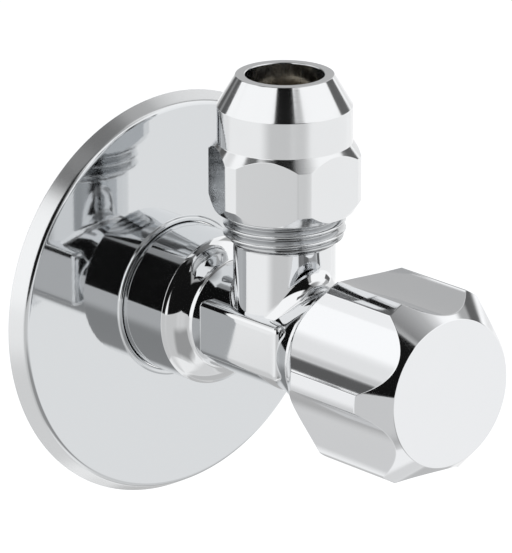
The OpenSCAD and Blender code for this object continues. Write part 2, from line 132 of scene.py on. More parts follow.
def columnAngles(step, creases, spread):
    # even steps around, with a tight cluster of columns at every crease
    cluster = spread * np.array([-1, -0.6, -0.35, -0.15, 0, 0.15, 0.35, 0.6, 1])
    near = (np.asarray(creases)[:, None] + cluster).ravel() % 360
    angles = np.unique(np.round(np.concatenate([np.arange(0, 360, step), near]), 4))
    keep = np.diff(angles, append=angles[0] + 360) > 0.05
    return np.radians(angles[keep])

def softLower(a, b, width):
    # the lower of two radii, with the meeting edge rounded over about that width
    return -width * np.logaddexp(-a / width, -b / width)

def threadWave(angle, height, pitch):
    # 0 at a crest and 1 at a root: a triangle wave along the helix, flattened at its tips,
    # two thirds straight flank and one third cosine
    phase = height / pitch - angle / (2 * np.pi)
    saw = np.clip(1.12 * np.abs(2 * (phase - np.floor(phase)) - 1) - 0.06, 0, 1)
    return 0.65 * saw + 0.175 * (1 - np.cos(np.pi * saw))


# pressed wall rosette
rosettePlan = dict(rim=28.7, flare=1.3, depth=2.5, sheet=0.7, edgeRound=0.8, hole=10.6, bead=0.3,
                   beadRise=0.35, columns=288)

def rosettePiece(plan):
    # a flat disc whose skirt leans outwards to the wall, with a rolled bead at the hole
    rim, flare, depth, sheet, hole = (plan[k] for k in ("rim", "flare", "depth", "sheet", "hole"))
    face, collar = rim - flare, hole + 2 * plan["bead"]
    knots = [
        (rim - sheet, 0.02, 0.1), (rim, 0.02, 0.12), (face, depth, plan["edgeRound"]),
        (collar + 0.15, depth, 0.12), (collar - 0.05, depth + plan["beadRise"], 0.22),
        (hole, depth + plan["beadRise"] * 0.8, 0.2), (hole, 0.6, 0.1), (collar, 0.6, 0.1),
        (collar, depth - sheet, 0.2), (face - sheet / 2, depth - sheet, 0.3)]
    radius, distance = roundedOutline(knots)
    angle = np.linspace(0, 2 * np.pi, plan["columns"], endpoint=False)
    piece = gridSurface("rosette_plate", "wall_plate", aboutInlet(radius, angle, distance))
    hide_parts("rosette")
    return piece

rosettePlate = rosettePiece(rosettePlan)
print("rosette made")


# compression nut: six flats cut on a turned blank
nutPlan = dict(acrossFlats=19.0, turnedRadius=10.45, foot=18.0, footBevel=1.5, footSlope=0.62, shoulder=27.4,
               landSlope=1.3, roundRadius=9.2, roundTop=32.4, tipRadius=6.65, tip=36.7, boreRadius=5.35,
               threadRadius=8.43, threadTop=26.8, coneFloor=28.0, ringRadius=6.5, squeezeFoot=29.7,
               squeezeTop=31.8, turn=4.0, pitch=1.337, threadDepth=0.7)

def nutPiece(plan):
    # the outer radius is the lower of the blank's and flat / cos(angle off the flat's middle);
    # the two bevels climb the flats to wherever that radius meets their cones
    flat, blank = plan["acrossFlats"] / 2, plan["turnedRadius"]
    halfFlat = np.degrees(np.arccos(flat / blank))
    middles = 30 + plan["turn"] + 60 * np.arange(6)
    angle = columnAngles(1.5, np.concatenate([middles - halfFlat, middles + halfFlat]), 1.2)
    off = (np.degrees(angle) - middles[0] + 30) % 60 - 30
    outer = softLower(flat / np.cos(np.radians(off)), blank + 0 * angle, 0.02)
    low = blank - plan["footBevel"] * plan["footSlope"]
    foot, shoulder = plan["foot"], plan["shoulder"]
    bevelTop = np.maximum(foot + 0.02, foot + (outer - low) / plan["footSlope"])
    landFoot = shoulder - (outer - plan["roundRadius"]) * plan["landSlope"]
    thread = plan["threadRadius"]
    knots = [
        (thread, foot + 0.45, 0.05), (thread + 0.4, foot, 0.1), (np.minimum(low, outer - 0.02), foot, 0.08),
        (outer, bevelTop, 0.12), (outer, landFoot, 0.1), (plan["roundRadius"], shoulder, 0.12),
        (plan["roundRadius"], plan["roundTop"], 0.16), (plan["tipRadius"], plan["tip"], 0.14),
        (plan["boreRadius"], plan["tip"], 0.16), (plan["boreRadius"], plan["squeezeTop"], 0.1),
        (plan["ringRadius"], plan["squeezeFoot"], 0.1), (plan["ringRadius"], plan["coneFloor"], 0.1),
        (thread, plan["threadTop"], 0.1)]
    radius, height = roundedOutline(knots, steps=4)
    # cut thread inside, faded at both ends, from the top of the thread down to the mouth
    cutTop, cutFoot = plan["threadTop"] - 0.3, foot + 0.6
    turns = np.linspace(cutTop, cutFoot, 78)[:, None]
    fade = np.clip((cutTop - turns) / 0.6, 0, 1) * np.clip((turns - cutFoot) / 0.5, 0, 1)
    cut = thread + plan["threadDepth"] * fade * threadWave(angle, turns, plan["pitch"])
    radius = np.concatenate([radius, cut])
    height = np.concatenate([height, turns + 0 * cut])
    piece = gridSurface("union_nut", "nut", aboutOutlet(radius, angle, height))
    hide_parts("compression_nut")
    return piece

unionNut = nutPiece(nutPlan)
print("nut made")


# handle: a turned knob with six hollow flutes
knobPlan = dict(landRadius=13.65, fluteFloor=10.75, landWidth=2.5, back=36.3, rimRadius=10.3, landBack=40.9,
                landFront=53.5, front=57.4, faceRadius=10.15, faceEdge=0.14, boreRadius=9.25,
                hubBack=48.9, pocketRadius=8.85, hubRadius=7.0, pocketFront=54.8, bushRadius=5.0,
                hubFloor=55.3, turn=-2.5)

def fluteRadius(offDegrees, plan):
    # a flute is the arc through both land edges that touches the floor radius in the middle:
    # distance from the knob's axis = c cos(a) - root(R^2 - c^2 sin^2(a))
    land = plan["landRadius"]
    halfLand = np.arcsin(plan["landWidth"] / 2 / land)
    edge = np.radians(30) - halfLand
    across, along = land * np.sin(edge), land * np.cos(edge)
    sag = along - plan["fluteFloor"]
    bend = (across ** 2 + sag ** 2) / (2 * sag)
    middle = plan["fluteFloor"] + bend
    off = np.radians(offDegrees)
    inside = np.maximum(bend ** 2 - (middle * np.sin(off)) ** 2, 1e-4)
    return middle * np.cos(off) - np.sqrt(inside), np.degrees(edge)

def knobPiece(plan):
    # radius in every direction = the lower of the land and the flute; the back and front cones
    # meet it where their own radius is the same
    land = plan["landRadius"]
    edge = fluteRadius(0.0, plan)[1]
    middles = 30 + plan["turn"] + 60 * np.arange(6)
    angle = columnAngles(1.25, np.concatenate([middles - edge, middles + edge]), 1.0)
    off = (np.degrees(angle) - middles[0] + 30) % 60 - 30
    outer = softLower(fluteRadius(off, plan)[0], land + 0 * angle, 0.035)
    back, rim, front, face = (plan[k] for k in ("back", "rimRadius", "front", "faceRadius"))
    backCone = back + (outer - rim) / (land - rim) * (plan["landBack"] - back)
    frontCone = front - (outer - face) / (land - face) * (front - plan["landFront"])
    knots = [
        (0.0, plan["hubFloor"], 0), (plan["bushRadius"], plan["hubFloor"], 0.1),
        (plan["bushRadius"], plan["hubBack"], 0.15),
        (plan["hubRadius"], plan["hubBack"], 0.2), (plan["hubRadius"], plan["pocketFront"], 0.2),
        (plan["pocketRadius"], plan["pocketFront"], 0.2), (plan["pocketRadius"], plan["hubBack"], 0.15),
        (plan["boreRadius"], plan["hubBack"], 0.1), (plan["boreRadius"], plan["back"], 0.15),
        (plan["rimRadius"], plan["back"], 0.2), (outer, backCone, 0.25), (outer, frontCone, 0.25),
        (face, front, plan["faceEdge"]), (0.0, front, 0)]
    radius, distance = roundedOutline(knots, steps=5, loop=False)
    piece = gridSurface("knob_shell", "knob", aboutInlet(radius, angle, distance), loop=False)
    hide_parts("handle")
    return piece

knobShell = knobPiece(knobPlan)
print("knob made")


# threads of the body, cut as real helices
outletThreadPlan = dict(foot=13.4, runIn=0.7, top=26.5, radius=8.33, neck=6.95, core=7.25, pitch=1.337,
                        depth=0.82)
inletThreadPlan = dict(front=5.5, runOut=0.9, chamfer=1.2, back=17.0, radius=10.4775, core=9.1, pitch=1.814,
                       depth=1.12)

def threadSleeve(name, place, plan, foot, top, footRadius, topRadius, footRun, topRun):
    # radius = the lower of the helix and the run-out cones at both ends
    angle = np.linspace(0, 2 * np.pi, 180, endpoint=False)
    rows = int((top - foot) / plan["pitch"] * 14)  # fourteen in each turn
    along = np.linspace(foot, top, rows)[:, None]
    helix = plan["radius"] - plan["depth"] * threadWave(angle, along, plan["pitch"])
    footCone = footRadius + (plan["radius"] - footRadius) * (along - foot) / footRun
    topCone = topRadius + (plan["radius"] - topRadius) * (top - along) / topRun
    outer = np.minimum(softLower(helix, footCone + 0 * angle, 0.02), topCone)
    inner = np.full((1, len(angle)), plan["core"] - 0.15)
    radius = np.concatenate([inner, outer, inner])
    height = np.concatenate([[[foot]], along, [[top]]]) + 0 * radius
    return gridSurface(name, "valve", place(radius, angle, height))

def bodyThreads():
    # each runs in and out over a cone; the one on the inlet's back end is its chamfer
    plan = outletThreadPlan
    crest, runIn = plan["radius"], plan["runIn"]
    outlet = threadSleeve("outlet_thread", aboutOutlet, plan, plan["foot"], plan["top"] - 0.01,
                          plan["neck"] - 0.1, crest - runIn, runIn + 0.2, runIn)
    plan = inletThreadPlan
    crest, runOut, chamfer = plan["radius"], plan["runOut"], plan["chamfer"]
    behindWall = lambda radius, angle, distance: aboutInlet(radius, angle, -distance)
    inlet = threadSleeve("inlet_thread", behindWall, plan, plan["front"], plan["back"] - 0.01,
                         crest - runOut, crest - chamfer, runOut, chamfer)
    return outlet, inlet

outletThread, inletThread = bodyThreads()
print("threads made")


# valve body: the turned length on the inlet axis, the outlet's neck on it, and the flat boss
bodyPlan = dict(inletBack=-17.0, inletBore=6.5, core=9.1, grooveBack=-5.5, grooveRadius=9.3275,
                sleeveBack=-3.5, sleeveRadius=10.5, sleeveFront=11.0, sleeveBevel=0.25, shoulderRadius=8.15,
                shoulderLength=1.8, shoulderBow=0.2, hollowIn=0.62, hollowOut=0.55, hollowEnd=2.2, fillet=1.3,
                barrelRadius=7.35, barrelBack=16.0, barrelFront=38.0, flareBack=28.8, flareFront=35.0,
                socketRadius=8.8, socketFront=38.5, socketFloor=34.5, socketBore=6.95, chamberRadius=5.7,
                chamberFloor=18.9, rimRadius=4.8, seat=19.5, seatRadius=4.0, seatBack=17.6, throatRadius=4.9,
                throatBack=9.0, columns=360)

def barrelRadiusAt(distance, plan):
    # barrel, then a half cosine wave up to the socket
    t = np.clip((distance - plan["flareBack"]) / (plan["flareFront"] - plan["flareBack"]), 0, 1)
    return plan["barrelRadius"] + (plan["socketRadius"] - plan["barrelRadius"]) * (1 - np.cos(np.pi * t)) / 2

def bodyOutline(plan):
    # bowed cone over the shoulder, hollow arc down to the barrel, cosine flare
    bevel, sleeve, shoulder = plan["sleeveBevel"], plan["sleeveRadius"], plan["shoulderRadius"]
    front, foot = plan["sleeveFront"], plan["sleeveFront"] + plan["shoulderLength"]
    corners = lambda knots: roundedOutline(knots, steps=4, loop=False)
    knot = lambda radius, distance, corner: (plan[radius], plan[distance], corner)
    t = np.linspace(0, 1, 12)[:, None]
    top = sleeve - bevel
    slope = np.array([top - shoulder, plan["shoulderLength"]])
    out = slope / np.linalg.norm(slope) * plan["shoulderBow"]
    bow = 4 * t * (1 - t)
    cone = (top + (shoulder - top) * t + out[1] * bow, front + (foot - front) * t + out[0] * bow)
    barrel = np.linspace(plan["barrelBack"], plan["barrelFront"], 60)
    parts = [
        corners([(plan["inletBore"], plan["inletBack"] + 6, 0), knot("inletBore", "inletBack", 0.2),
                 knot("core", "inletBack", 0.1), knot("core", "grooveBack", 0.1),
                 knot("grooveRadius", "grooveBack", 0.05), knot("grooveRadius", "sleeveBack", 0.05),
                 knot("sleeveRadius", "sleeveBack", 0.25), (sleeve, front - bevel, 0.12), (top, front, 0)]),
        (cone[0][1:-1], cone[1][1:-1]),
        roundedOutline([(cone[0][-2, 0], cone[1][-2, 0], 0),
                        (shoulder - plan["hollowIn"], foot + plan["hollowOut"], plan["fillet"]),
                        (plan["barrelRadius"], foot + plan["hollowEnd"], 0)], steps=12, loop=False),
        (barrelRadiusAt(barrel, plan)[:, None], barrel[:, None]),
        corners([(plan["socketRadius"], plan["socketFront"] - 0.4, 0),
                 knot("socketRadius", "socketFront", 0.15), knot("socketBore", "socketFront", 0.15),
                 knot("socketBore", "socketFloor", 0.1), knot("chamberRadius", "socketFloor", 0.1),
                 knot("chamberRadius", "chamberFloor", 0.1), knot("rimRadius", "chamberFloor", 0.1),
                 knot("rimRadius", "seat", 0.2), knot("seatRadius", "seat", 0.2),
                 knot("seatRadius", "seatBack", 0.1), knot("throatRadius", "seatBack", 0.1),
                 knot("throatRadius", "throatBack", 0.1), knot("inletBore", "throatBack", 0.1),
                 (plan["inletBore"], plan["throatBack"] - 2, 0)])]
    return tuple(np.concatenate(column) for column in zip(*parts))

neckPlan = dict(radius=6.95, portRadius=4.0, portFoot=8.5, portTop=14.0, tubeRadius=5.1, coneFoot=24.5,
                coneRadius=6.4, blendBack=0.8, blendFront=2.4, wallMiddle=6.5, wallHole=5.3, drillEase=0.03,
                drillMiddle=6.2, drillDepth=5.0, columns=240)

def neckSurface(plan, body, thread):
    # a ball as big as the blend rolls round between neck and barrel: its centre lies that much off both,
    # so its height is root((barrel + ball)^2 - x^2), and the fillet is the arc between its two contacts
    angle = np.linspace(0, 2 * np.pi, plan["columns"], endpoint=False)
    across, along = np.cos(angle), np.sin(angle)
    ball = plan["blendFront"] + (plan["blendBack"] - plan["blendFront"]) * (1 + along) / 2
    reach = plan["radius"] + ball
    centre = np.stack([reach * across, reach * along - outletOut, 0 * angle], -1)
    barrel = barrelRadiusAt(-centre[:, 1], body)
    centre[:, 2] = np.sqrt(np.maximum((barrel + ball) ** 2 - centre[:, 0] ** 2, 0.01))
    onNeck = np.stack([-across, -along, 0 * angle], -1)
    onBarrel = -centre * [1, 0, 1]
    onBarrel /= np.linalg.norm(onBarrel, axis=-1, keepdims=True)
    t = np.linspace(0, 1, 13)[:, None, None]
    swing = np.arccos(np.clip((onNeck * onBarrel).sum(-1), -1, 1))[None, :, None]
    toContact = (np.sin((1 - t) * swing) * onNeck + np.sin(t * swing) * onBarrel) / np.sin(swing)
    fillet = (centre + ball[:, None] * toContact) * mm
    fillet[-1] += onBarrel * 0.001 * mm
    inWall = lambda r: np.sqrt(plan["wallMiddle"] ** 2 - (r * across) ** 2)
    ring = lambda r, height: aboutOutlet(r + 0 * angle, angle, height + 0 * angle)[None]
    # rows: up the port and the bore, down the thread's core and the neck, over the fillet and into the wall
    top, core, foot = thread["top"], thread["core"], thread["foot"]
    neck, port, tube, hole = (plan[k] for k in ("radius", "portRadius", "tubeRadius", "wallHole"))
    neckTop = foot - 1.0
    inside = roundedOutline([(port, plan["portFoot"], 0), (port, plan["portTop"], 0.15),
                             (tube, plan["portTop"], 0.1), (tube, plan["coneFoot"], 0.2),
                             (plan["coneRadius"], top, 0.05), (core, top, 0.05), (core, foot + 0.6, 0.2),
                             (neck, foot - 0.2, 0.3), (neck, neckTop, 0)], steps=4, loop=False)
    rows = [ring(port, inWall(port)), aboutOutlet(inside[0] + 0 * angle, angle, inside[1] + 0 * angle)]
    neckFoot = fillet[0][:, 2] / mm
    rows += [ring(neck, neckFoot + (neckTop - neckFoot) * share) for share in (0.6, 0.25, 0.02)]
    rows += [fillet, ring(hole, inWall(hole))]
    return np.concatenate(rows)

bossPlan = dict(reach=8.1, depth=3.2, front=31.9, length=16.3, height=7.8, rise=0.4, corner=1.0, ease=0.8)

def bossSurface(plan):
    # rounded rectangle carried inwards: its rows run from the middle of the face, over the eased edge
    # (a quarter circle) and down the side
    halfY, halfZ, corner = plan["length"] / 2, plan["height"] / 2, plan["corner"]
    sweep = np.linspace(0, np.pi / 2, 9)
    turns, cornerY, cornerZ = [], [], []
    for start, signY, signZ in ((0, 1, 1), (90, -1, 1), (180, -1, -1), (270, 1, -1)):
        turns.append(sweep + radians(start))
        cornerY.append(np.full_like(sweep, signY * (halfY - corner)))
        cornerZ.append(np.full_like(sweep, signZ * (halfZ - corner)))
    turns, cornerY, cornerZ = (np.concatenate(v) for v in (turns, cornerY, cornerZ))
    ease = plan["ease"]
    arc = np.linspace(0, np.pi / 2, 9)
    inset = np.concatenate([ease * (1 - np.sin(arc)), [0, 0]])[:, None]
    deep = np.concatenate([ease * (1 - np.cos(arc)), [ease + 0.4, plan["depth"]]])[:, None]
    y = cornerY + (corner - inset) * np.cos(turns)
    z = cornerZ + (corner - inset) * np.sin(turns)
    grow = np.linspace(0, 1, 6)[:-1, None] ** 0.8
    y = np.concatenate([grow * y[0], y, [0 * y[0]]])
    z = np.concatenate([grow * z[0], z, [0 * z[0]]])
    deep = np.concatenate([0 * grow, deep, [[plan["depth"]]]]) + 0 * y
    middle = plan["front"] - plan["length"] / 2
    return np.stack([deep - plan["reach"], y - middle, z + plan["rise"]], -1) * mm

def bodyPieces():
    angle = np.linspace(0, 2 * np.pi, bodyPlan["columns"], endpoint=False)
    radius, distance = bodyOutline(bodyPlan)
    turning = gridSurface("body_turning", "valve",
                          aboutInlet(radius + 0 * angle, angle, distance + 0 * angle))
    neck = gridSurface("outlet_neck", "valve", neckSurface(neckPlan, bodyPlan, outletThreadPlan))
    boss = gridSurface("side_boss", "valve", bossSurface(bossPlan), loop=False)
    # the port from the chamber up into the neck, a hair wider than the neck's own bore
    drillRadius = (neckPlan["portRadius"] + neckPlan["drillEase"]) * mm
    portMesh = bpy.data.meshes.new("port_cutter")
    cutter = bmesh.new()
    bmesh.ops.create_cone(cutter, cap_ends=True, segments=96, radius1=drillRadius, radius2=drillRadius,
                          depth=neckPlan["drillDepth"] * mm,
                          matrix=Matrix.Translation((0, -outletOut * mm, neckPlan["drillMiddle"] * mm)))
    cutter.to_mesh(portMesh)
    cutter.free()
    port = bpy.data.objects.new("port_cutter", portMesh)
    bpy.context.collection.objects.link(port)
    drill = turning.modifiers.new("port", "BOOLEAN")
    drill.operation = "DIFFERENCE"
    drill.object = port
    drill.solver = "EXACT"
    bpy.context.view_layer.update()
    cut = bpy.data.meshes.new_from_object(turning.evaluated_get(bpy.context.evaluated_depsgraph_get()))
    turning.modifiers.clear()
    turning.data = cut
    bpy.data.objects.remove(port)
    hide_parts("valve_body")
    return turning, neck, boss

bodyTurning, outletNeck, sideBoss = bodyPieces()
print("body made")


# small helpers for the node trees
def addNode(tree, kind, **sockets):
    node = tree.nodes.new(kind)
    for name, value in sockets.items():
        connect(tree, value, node.inputs[name.replace("_", " ")])
    return node

def connect(tree, value, socket):
    if isinstance(value, bpy.types.NodeSocket):
        tree.links.new(value, socket)
    else:
        socket.default_value = value

def calc(tree, operation, *values):
    node = tree.nodes.new("ShaderNodeMath")
    node.operation = operation
    for value, socket in zip(values, node.inputs):
        connect(tree, value, socket)
    return node.outputs[0]

def ramp(tree, factor, stops):
    # stops are (place, grey)
    node = tree.nodes.new("ShaderNodeValToRGB")
    connect(tree, factor, node.inputs[0])
    marks = node.color_ramp.elements
    while len(marks) < len(stops):
        marks.new(0.5)
    for mark, (place, grey) in zip(marks, stops):
        mark.position = place
        mark.color = (grey, grey, grey, 1)
    return node.outputs[0]

def blendColour(tree, factor, a, b):
    node = tree.nodes.new("ShaderNodeMix")
    node.data_type = "RGBA"
    connect(tree, factor, node.inputs["Factor"])
    colours = [socket for socket in node.inputs if socket.type == "RGBA"]
    connect(tree, a, colours[0])
    connect(tree, b, colours[1])
    return [socket for socket in node.outputs if socket.type == "RGBA"][0]

def cloud(tree, size, stretch=(1, 1, 1), detail=3.0):
    # noise whose lumps are about size millimetres across, stretched along the axes
    where = tree.nodes.new("ShaderNodeTexCoord").outputs["Object"]
    moved = addNode(tree, "ShaderNodeMapping", Vector=where, Scale=stretch).outputs[0]
    return addNode(tree, "ShaderNodeTexNoise", Vector=moved, Scale=1000 / size, Detail=detail).outputs[0]

def finish(name, colour, metallic, roughness, spread=0.0, bumps=(), tint=None):
    # spread widens the roughness with a slow cloud; bumps are (pattern maker, height in mm);
    # tint is a second colour that a cloud brings in
    material = bpy.data.materials.new(name)
    material.use_nodes = True
    tree = material.node_tree
    shader = tree.nodes["Principled BSDF"]
    shader.inputs["Base Color"].default_value = (*colour, 1)
    shader.inputs["Metallic"].default_value = metallic
    shader.inputs["Roughness"].default_value = roughness
    if spread:
        smear = cloud(tree, 5.0, detail=5.0)
        low, high = roughness - spread / 2, roughness + spread
        tree.links.new(addNode(tree, "ShaderNodeMapRange", Value=smear, From_Min=0.35, From_Max=0.7,
                               To_Min=low, To_Max=high).outputs[0], shader.inputs["Roughness"])
    if tint:
        patch = cloud(tree, 3.0, detail=4.0)
        sharper = addNode(tree, "ShaderNodeMapRange", Value=patch, From_Min=0.4, From_Max=0.65).outputs[0]
        tree.links.new(blendColour(tree, sharper, (*colour, 1), (*tint, 1)), shader.inputs["Base Color"])
    normal = None
    for pattern, height in bumps:
        bump = addNode(tree, "ShaderNodeBump", Height=pattern(tree), Distance=height * mm, Strength=1.0)
        if normal:
            tree.links.new(normal, bump.inputs["Normal"])
        normal = bump.outputs[0]
    if normal:
        tree.links.new(normal, shader.inputs["Normal"])
    return material

def paint(piece, material):
    if not piece.data.materials:
        piece.data.materials.append(material)
    for holder in piece.material_slots:
        holder.material = material


# finishes
chromeTone = (0.78, 0.79, 0.80)
# painted shade: the root tone is the dark grey painted into the bottom of the thread grooves
threadCrestTone, grooveShadeTone = (0.76, 0.77, 0.78), (0.46, 0.47, 0.48)
castWaves = lambda tree: cloud(tree, 9.0, detail=1.0)  # slow lumps a polishing wheel leaves
fineGrain = lambda tree: cloud(tree, 0.35, detail=2.0)
# tool marks round the outlet axis
turnedLines = lambda tree: cloud(tree, 0.5, stretch=(0.02, 0.02, 3.0), detail=3.0)

def fromAxis(tree, across, offset=0.0):
    # millimetres from an axis: across names its two other directions, and offset moves it toward the room
    where = tree.nodes.new("ShaderNodeTexCoord").outputs["Object"]
    parts = addNode(tree, "ShaderNodeSeparateXYZ", Vector=where).outputs
    first = parts["XYZ".index(across[0])]
    second = calc(tree, "ADD", parts["XYZ".index(across[1])], offset * mm)
    squares = calc(tree, "ADD", calc(tree, "MULTIPLY", first, first), calc(tree, "MULTIPLY", second, second))
    return calc(tree, "MULTIPLY", calc(tree, "SQRT", squares), 1000.0)

def spunRings(tree):
    # rings about the inlet axis, as a spinning polish leaves them
    noise = tree.nodes.new("ShaderNodeTexNoise")
    noise.noise_dimensions = "1D"
    tree.links.new(fromAxis(tree, "XZ"), noise.inputs["W"])
    noise.inputs["Scale"].default_value = 2.5
    noise.inputs["Detail"].default_value = 3.0
    return noise.outputs[0]

castChrome = finish("cast_chrome", chromeTone, 1.0, 0.045, spread=0.03,
                    bumps=[(castWaves, 0.012), (fineGrain, 0.0002)])
turnedChrome = finish("turned_chrome", chromeTone, 1.0, 0.11, spread=0.05,
                      bumps=[(turnedLines, 0.003), (fineGrain, 0.0002)])

# painted shade: the face tone is the plating's chrome made darker, for the face's darker look
plateFinishPlan = dict(shadedFaceTone=(0.668, 0.685, 0.70), faceRoughness=0.05, skirtRoughness=0.22, edgeFrom=27.1,
                       edgeTo=27.7)

def plateFinish(plan):
    # the rosette's face is polished and its skirt brushed; the face's colour is painted shade, a darker copy
    # of the same chrome than the skirt's
    made = finish("plate_chrome", chromeTone, 1.0, 0.06, bumps=[(spunRings, 0.0008), (castWaves, 0.004)])
    tree = made.node_tree
    shader = tree.nodes["Principled BSDF"]
    out = fromAxis(tree, "XZ")
    across = lambda low, high: addNode(tree, "ShaderNodeMapRange", Value=out, From_Min=plan["edgeFrom"],
                                       From_Max=plan["edgeTo"], To_Min=low, To_Max=high).outputs[0]
    tree.links.new(across(plan["faceRoughness"], plan["skirtRoughness"]), shader.inputs["Roughness"])
    # painted shade: the colour goes from the darker face tone to plain chrome across the edge
    tree.links.new(blendColour(tree, across(0.0, 1.0), (*plan["shadedFaceTone"], 1), (*chromeTone, 1)),
                   shader.inputs["Base Color"])
    return made

plateChrome = plateFinish(plateFinishPlan)
# painted light: the knob's chrome is a lighter copy of the same plating (0.81 against 0.78), so its
# reflections read brighter
litKnobChrome = finish("knob_chrome", (0.81, 0.82, 0.835), 1.0, 0.07, spread=0.03,
                    bumps=[(castWaves, 0.003), (fineGrain, 0.0002)])

def shadedThreadFinish(name, across, offset, plan):
    # painted shade: the colour goes from the crest tone to a dark grey toward the root of the groove,
    # standing in for the shade that falls there
    made = finish(name, chromeTone, 1.0, 0.14, spread=0.06, bumps=[(fineGrain, 0.0006)])
    tree = made.node_tree
    crest = plan["radius"]
    # painted shade mask: 0 at the groove's root, 1 just below the crest, by distance from the thread's axis
    rise = addNode(tree, "ShaderNodeMapRange", Value=fromAxis(tree, across, offset),
                   From_Min=crest - plan["depth"], From_Max=crest - 0.15)
    tree.links.new(blendColour(tree, rise.outputs[0], (*grooveShadeTone, 1), (*threadCrestTone, 1)),
                   tree.nodes["Principled BSDF"].inputs["Base Color"])
    return made

outletThreadChrome = shadedThreadFinish("outlet_thread_chrome", "XY", outletOut, outletThreadPlan)
inletThreadChrome = shadedThreadFinish("inlet_thread_chrome", "XZ", 0.0, inletThreadPlan)
bareBrass = finish("bare_brass", (0.60, 0.53, 0.42), 1.0, 0.24, spread=0.1, tint=(0.46, 0.40, 0.31),
                   bumps=[(fineGrain, 0.0015)])
springSteel = finish("spring_steel", (0.55, 0.56, 0.58), 1.0, 0.28, spread=0.1, bumps=[(fineGrain, 0.001)])
sealRubber = finish("seal_rubber", (0.022, 0.022, 0.024), 0.0, 0.55, spread=0.15, bumps=[(fineGrain, 0.004)])
redFibre = finish("red_fibre", (0.42, 0.11, 0.07), 0.0, 0.8, spread=0.1, tint=(0.32, 0.08, 0.05),
                  bumps=[(fineGrain, 0.01)])
whiteSeal = finish("white_seal", (0.86, 0.86, 0.83), 0.0, 0.42, spread=0.1, bumps=[(fineGrain, 0.003)])
milkyNylon = finish("milky_nylon", (0.78, 0.77, 0.7), 0.0, 0.4, spread=0.1, tint=(0.72, 0.71, 0.63),
                    bumps=[(fineGrain, 0.002)])

paint(rosettePlate, plateChrome)
paint(unionNut, turnedChrome)
paint(knobShell, litKnobChrome)
for piece in (bodyTurning, outletNeck, sideBoss):
    paint(piece, castChrome)
paint(outletThread, outletThreadChrome)
paint(inletThread, inletThreadChrome)
slotFinish = dict(brass=bareBrass, spring_steel=springSteel, rubber=sealRubber, fibre=redFibre,
                  ptfe=whiteSeal, nylon=milkyNylon, chrome_plate=castChrome, knob_chrome=litKnobChrome)
slotOfNode = {
    "inlet_seal_ring": "ptfe", "compression_ring": "brass", "headwork_bonnet": "brass",
    "bonnet_gasket": "fibre", "spindle": "brass", "spindle_o_ring_inner": "rubber",
    "spindle_o_ring_outer": "rubber", "friction_washer": "ptfe", "circlip_washer": "brass",
    "spindle_circlip": "spring_steel", "valve_plug": "brass", "seat_washer": "rubber",
    "retaining_washer": "brass", "washer_screw": "brass", "handle_insert": "nylon",
    "insert_clip": "spring_steel"}
for name, kind in slotOfNode.items():
    paint(nodes[name], slotFinish[kind])
print("finishes set")


# studio: a pale floor well below the part, soft lamps, and boards all round that only metal sees
studioPlan = dict(floorHeight=-0.27, floorHalf=3.0, floorColour=(0.80, 0.81, 0.825), skyForFloor=0.62,
                  cameraLift=0.42, boxLevel=1.16)
# boards round the part, seen in metal only: level, compass from and to, its edge, elevation from and to,
# its edge, and how far the board leans (degrees of compass for each degree of elevation)
studioBoards = [
    (0.885, 0, 360, 10, -90, -5, 2, 0),
    (0.68, 100, 215, 30, -90, -28, 14, 0),
    (0.68, 286, 342, 24, -84, -38, 12, 0),
    (0.50, 342, 394, 12, -84, -40, 8, 0),
    (0.78, 62, 122, 12, -60, -6, 4, 0),
    (0.62, 56, 140, 10, -64, -20, 6, 0),
    (0.40, 40, 90, 32, -54, -28, 9, 0),
    (0.58, 197, 246, 24, -60, -5, 3, 0),
    (0.62, 242, 268, 18, -60, -5, 3, 0),
    (0.32, 230, 292, 14, -54, -23, 10, 0),
    (0.24, 140, 240, 20, 64, 90, 8, 0),
    (0.16, 0, 360, 10, 78, 95, 6, 0),
    (0.12, 148, 171, 5, 42.5, 60, 2, 0),
    (0.44, 36, 80, 4, -5, 60, 3, 0),
    (0.10, 84, 104, 1.5, 33, 60, 2, 0),
    (0.10, 77, 110, 2, -6, 33, 2, 0),
    (0.24, 89, 96, 2, -6, 33, 2, 0),
    (0.56, 103, 114, 6, 33, 60, 2, 0),
    (0.78, 112, 128, 10, 26, 60, 6, 0),
    (0.80, 14, 36, 4, -5, 60, 3, 0),
    (0.12, 341, 369, 4, 6, 27, 4, 0),
    (0.40, 350, 372, 7, 24, 60, 5, 0),
    (0.006, 208, 266, 3, -5, 42, 1.2, 0),
    (0.006, 208, 249, 2.5, 40, 60, 2, 0),
    (0.35, 262, 273, 3, -5, 44, 2, 0.4)]
# greys of the darker top, by compass
studioCrown = [
    (0, 0.4), (14, 0.38), (24, 0.3), (60, 0.2), (98, 0.1), (145, 0.1), (165, 0.3), (178, 0.35), (190, 0.1),
    (206, 0.04), (246, 0.04), (252, 0.2), (270, 0.3), (300, 0.46), (318, 0.7), (330, 0.95), (348, 0.9),
    (360, 0.4)]

def softWindow(tree, value, middle, half, edge, turning=False):
    # 1 inside, 0 outside, with a smooth edge; a compass value is wrapped round the circle
    away = calc(tree, "SUBTRACT", value, middle)
    if turning:
        away = calc(tree, "WRAP", away, 180.0, -180.0)
    node = addNode(tree, "ShaderNodeMapRange", Value=calc(tree, "ABSOLUTE", away), From_Min=half - edge / 2,
                   From_Max=half + edge / 2, To_Min=1.0, To_Max=0.0)
    node.interpolation_type = "SMOOTHSTEP"
    return node.outputs[0]

